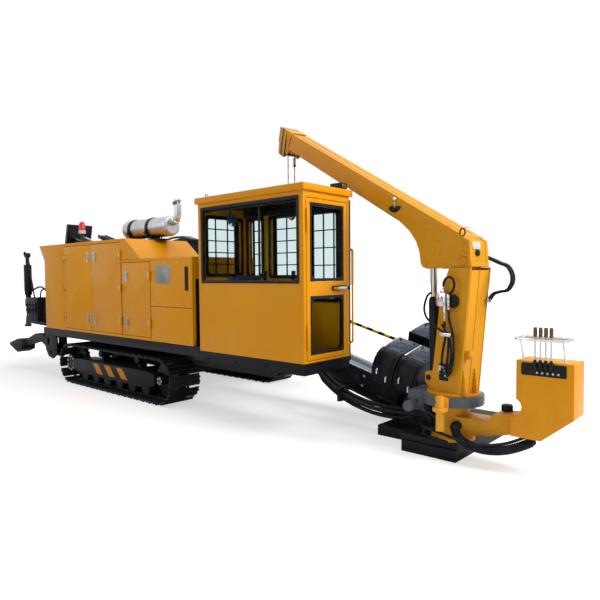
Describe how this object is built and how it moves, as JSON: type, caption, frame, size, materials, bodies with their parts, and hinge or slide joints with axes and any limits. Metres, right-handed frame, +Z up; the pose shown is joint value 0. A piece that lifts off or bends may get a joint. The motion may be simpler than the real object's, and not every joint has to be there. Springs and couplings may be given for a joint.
{
  "type": "horizontal directional drill",
  "caption": "A tracked drilling rig for laying pipe under roads, with a driver's cab, a long inclined drilling boom, a clamp pair, a loader crane and a stand-up control console at the front.",
  "frame": {"origin": "centre of the machine's outline on the ground", "axes": "+X points to the drilling end with the console, +Y to the machine's far side (the right-hand side in driving direction's back view), +Z up"},
  "size_m": [9.233, 2.322, 3.3979],
  "materials": {
    "yellow": "glossy warm yellow paint on the hood, cab and console",
    "crane_yellow": "duller ochre yellow paint on the crane",
    "black": "satin black paint on the frame, clamps and carriage",
    "dark_grey": "dark blue-grey paint, slightly worn",
    "steel": "bare bright steel",
    "rubber": "dull black rubber",
    "glass": "clear, slightly green safety glass",
    "red": "clear red lamp dome",
    "seat": "dark woven seat cloth",
    "rope": "bright wire rope and winch drum"
  },
  "bodies": {
    "chassis": {"track_left": "rubber", "track_right": "rubber", "track_frame_left": "black", "track_frame_right": "black", "car_body": "black", "deck_frame": "black", "rear_valve_rack": "black", "outlet_pipe": "dark_grey", "engine_block": "dark_grey", "hood": "yellow", "muffler": "steel", "muffler_straps": "black", "beacon": "red", "cab_floor": "black", "cab_wall_left": "yellow", "cab_wall_right": "yellow", "cab_wall_rear": "yellow", "cab_front_frame": "yellow", "cab_roof": "yellow", "glass_left": "glass", "glass_right": "glass", "glass_rear": "glass", "window_guard_right": "black", "window_guard_rear": "black", "operator_seat": "seat", "grab_rail": "yellow", "hydraulic_tank": "black", "fuel_tank": "yellow"},
    "leg_left": {"rear_leg_left": "black"},
    "leg_right": {"rear_leg_right": "black"},
    "door_rear": {"hood_door_rear": "yellow"},
    "door_middle": {"hood_door_middle": "yellow"},
    "door_front": {"hood_door_front": "yellow"},
    "door_cab": {"cab_door": "yellow", "glass_door": "glass"},
    "boom": {"drill_boom": "dark_grey", "drive_rack": "steel", "vise_rear": "black", "guard_bar": "black", "anchor_frame": "black", "crane_pedestal": "crane_yellow", "slewing_housing": "dark_grey", "control_console": "yellow", "console_rail": "steel", "supply_hoses": "rubber", "console_hose": "rubber"},
    "clamp_front": {"vise_front": "black"},
    "carriage": {"drive_head": "black"},
    "spindle": {"drive_spindle": "steel"},
    "tilt_cylinder": {"tilt_barrel": "black"},
    "tilt_ram": {"tilt_rod": "steel"},
    "crane": {"crane_column": "crane_yellow"},
    "jib": {"crane_jib": "crane_yellow", "hoist_rope": "rope"},
    "jib_slide": {"jib_inner": "crane_yellow"},
    "hook": {"hook_block": "crane_yellow"},
    "luff_cylinder": {"luff_barrel": "black"},
    "luff_ram": {"luff_rod": "steel"}
  },
  "joints": [
    {"name": "rear_leg_left", "type": "hinge", "parent": "chassis", "child": "leg_left", "pos_m": [-2.9885, -1.03, 0.4], "axis": [0, -1, 0], "range_deg": [0, 14]},
    {"name": "rear_leg_right", "type": "hinge", "parent": "chassis", "child": "leg_right", "pos_m": [-2.9885, 1.03, 0.4], "axis": [0, -1, 0], "range_deg": [0, 14]},
    {"name": "hood_door_rear", "type": "hinge", "parent": "chassis", "child": "door_rear", "pos_m": [-2.3645, -1.1593, 0.83], "axis": [0, 0, -1], "range_deg": [0, 90]},
    {"name": "hood_door_middle", "type": "hinge", "parent": "chassis", "child": "door_middle", "pos_m": [-0.7565, -1.1593, 0.83], "axis": [0, 0, 1], "range_deg": [0, 90]},
    {"name": "hood_door_front", "type": "hinge", "parent": "chassis", "child": "door_front", "pos_m": [-0.0855, -1.1593, 0.83], "axis": [0, 0, 1], "range_deg": [0, 90]},
    {"name": "cab_door", "type": "hinge", "parent": "chassis", "child": "door_cab", "pos_m": [2.4328, -1.105, 0.78], "axis": [0, 0, -1], "range_deg": [0, 95]},
    {"name": "boom_tilt", "type": "hinge", "parent": "chassis", "child": "boom", "pos_m": [-0.1285, 0.125, 0.66], "axis": [0, -1, 0], "range_deg": [0, 8]},
    {"name": "tilt_barrel", "type": "hinge", "parent": "chassis", "child": "tilt_cylinder", "pos_m": [-2.3985, 0.125, 0.7], "axis": [0, 1, 0], "range_deg": [0, 14.65]},
    {"name": "tilt_rod", "type": "slide", "parent": "tilt_cylinder", "child": "tilt_ram", "axis": [-0.8076, 0, -0.5897], "range_m": [0, 0.1608]},
    {"name": "drive_head", "type": "slide", "parent": "boom", "child": "carriage", "axis": [0.9658, 0, -0.2593], "range_m": [-2.85, 3.2]},
    {"name": "drive_spindle", "type": "hinge", "parent": "carriage", "child": "spindle", "pos_m": [-0.676, 0.125, 1.6995], "axis": [0.9658, 0, -0.2593], "continuous": true},
    {"name": "vise_breakout", "type": "hinge", "parent": "boom", "child": "clamp_front", "pos_m": [2.9554, 0.125, 0.7244], "axis": [0.9658, 0, -0.2593], "range_deg": [-20, 0]},
    {"name": "crane_slew", "type": "hinge", "parent": "boom", "child": "crane", "pos_m": [3.5815, -0.48, 0.548], "axis": [0, 0, -1], "range_deg": [0, 270]},
    {"name": "crane_luff", "type": "hinge", "parent": "crane", "child": "jib", "pos_m": [3.767, -0.5211, 1.7], "axis": [0.2161, 0.9764, 0], "range_deg": [-12, 39]},
    {"name": "luff_barrel", "type": "hinge", "parent": "crane", "child": "luff_cylinder", "pos_m": [3.3911, -0.4379, 0.665], "axis": [0.2161, 0.9764, 0], "range_deg": [-1.29, 4.18]},
    {"name": "luff_rod", "type": "slide", "parent": "luff_cylinder", "child": "luff_ram", "axis": [-0.0286, 0.0063, 0.9996], "range_m": [-0.0827, 0.2682]},
    {"name": "crane_extend", "type": "slide", "parent": "jib", "child": "jib_slide", "axis": [-0.8558, 0.1894, 0.4813], "range_m": [0, 1.4]},
    {"name": "hook_level", "type": "hinge", "parent": "jib_slide", "child": "hook", "pos_m": [1.1845, 0.0505, 3.1056], "axis": [0.2161, 0.9764, 0], "range_deg": [-39, 12]}
  ],
  "couplings": [
    {"joint": "tilt_barrel", "follows": "boom_tilt", "ratio": 1.831},
    {"joint": "tilt_rod", "follows": "boom_tilt", "m_per_rad": 1.1505},
    {"joint": "luff_barrel", "follows": "crane_luff", "ratio": 0.10702},
    {"joint": "luff_rod", "follows": "crane_luff", "m_per_rad": 0.39376},
    {"joint": "hook_level", "follows": "crane_luff", "ratio": -1}
  ]
}
